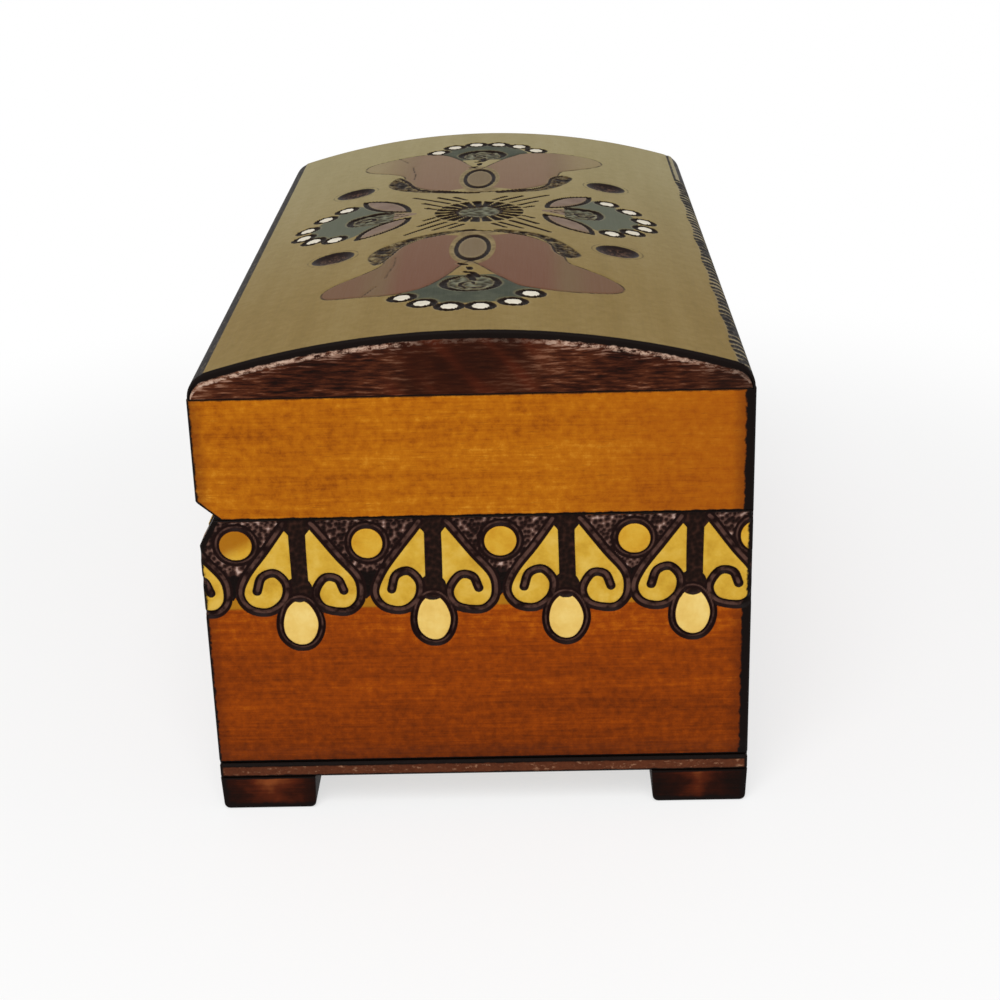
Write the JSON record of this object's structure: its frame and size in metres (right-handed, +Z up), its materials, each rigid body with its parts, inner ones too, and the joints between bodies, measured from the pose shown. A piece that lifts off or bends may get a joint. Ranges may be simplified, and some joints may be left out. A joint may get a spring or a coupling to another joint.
{
  "type": "wooden trinket box",
  "caption": "Small wooden box on four block feet, with a hinged, gently domed lid and a bevelled finger notch along the front.",
  "frame": {"origin": "on the table, under the middle of the four feet", "axes": "+X along the length to the right end, -Y to the front with the finger notch, +Z up"},
  "size_m": [0.165, 0.0957, 0.0887],
  "materials": {
    "wall_wood": "lacquered",
    "lid_wood": "lacquered",
    "top_wood": "waxed",
    "stained_bottom": "stained",
    "stained_foot": "stained",
    "hinge_brass": "dull"
  },
  "bodies": {
    "base": {"base_front_board": "wall_wood", "base_back_board": "wall_wood", "base_left_end": "wall_wood", "base_right_end": "wall_wood", "bottom_board": "stained_bottom", "foot_front_left": "stained_foot", "foot_front_right": "stained_foot", "foot_back_left": "stained_foot", "foot_back_right": "stained_foot", "hinge_left_base_leaf": "hinge_brass", "hinge_right_base_leaf": "hinge_brass", "hinge_left_pin": "hinge_brass", "hinge_right_pin": "hinge_brass", "base_hinge_brads": "hinge_brass"},
    "lid": {"lid_front_board": "lid_wood", "lid_back_board": "lid_wood", "lid_left_end": "lid_wood", "lid_right_end": "lid_wood", "lid_top_slab": "top_wood", "hinge_left_lid_leaf": "hinge_brass", "hinge_right_lid_leaf": "hinge_brass", "lid_hinge_brads": "hinge_brass"}
  },
  "joints": [
    {"name": "lid_hinge", "type": "hinge", "parent": "base", "child": "lid", "pos_m": [0, 0.0475, 0.0562], "axis": [-1, 0, 0], "range_deg": [0, 180]}
  ]
}
